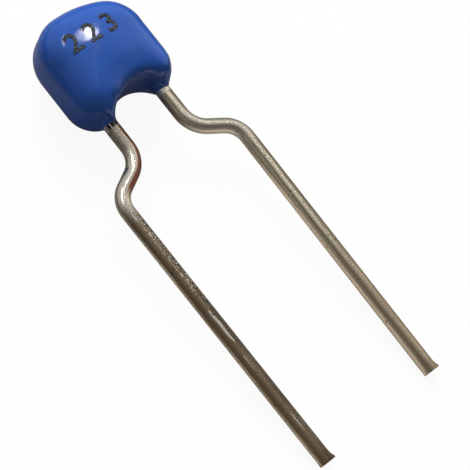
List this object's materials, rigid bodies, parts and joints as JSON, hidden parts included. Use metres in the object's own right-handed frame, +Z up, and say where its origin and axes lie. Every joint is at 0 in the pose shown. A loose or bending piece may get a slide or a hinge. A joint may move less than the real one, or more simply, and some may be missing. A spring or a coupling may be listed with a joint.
{
  "type": "radial ceramic capacitor",
  "caption": "Blue dipped multilayer ceramic capacitor: rounded epoxy body, fired chip and electrodes inside, tinned wire leads kinked out to board pitch.",
  "frame": {"origin": "centre of the bounding box, on the floor the part lies on", "axes": "+X across the two leads, +Y from the lead ends to the crown of the body, +Z up, out of the printed face"},
  "size_m": [0.0054, 0.016, 0.0025],
  "materials": {
    "blue_epoxy": "glossy dipped epoxy",
    "fired_ceramic": "matt fired barium titanate",
    "nickel_film": "co-fired nickel film",
    "silver_cap": "fired silver, tin plated",
    "solder": "wetted solder",
    "tinned_wire": "drawn wire with tin plate, die lines along it"
  },
  "bodies": {
    "root": {"epoxy_coat": "blue_epoxy", "ceramic_block": "fired_ceramic", "left_electrodes": "nickel_film", "right_electrodes": "nickel_film", "left_termination": "silver_cap", "right_termination": "silver_cap", "left_solder": "solder", "right_solder": "solder", "left_lead": "tinned_wire", "right_lead": "tinned_wire"}
  },
  "joints": []
}
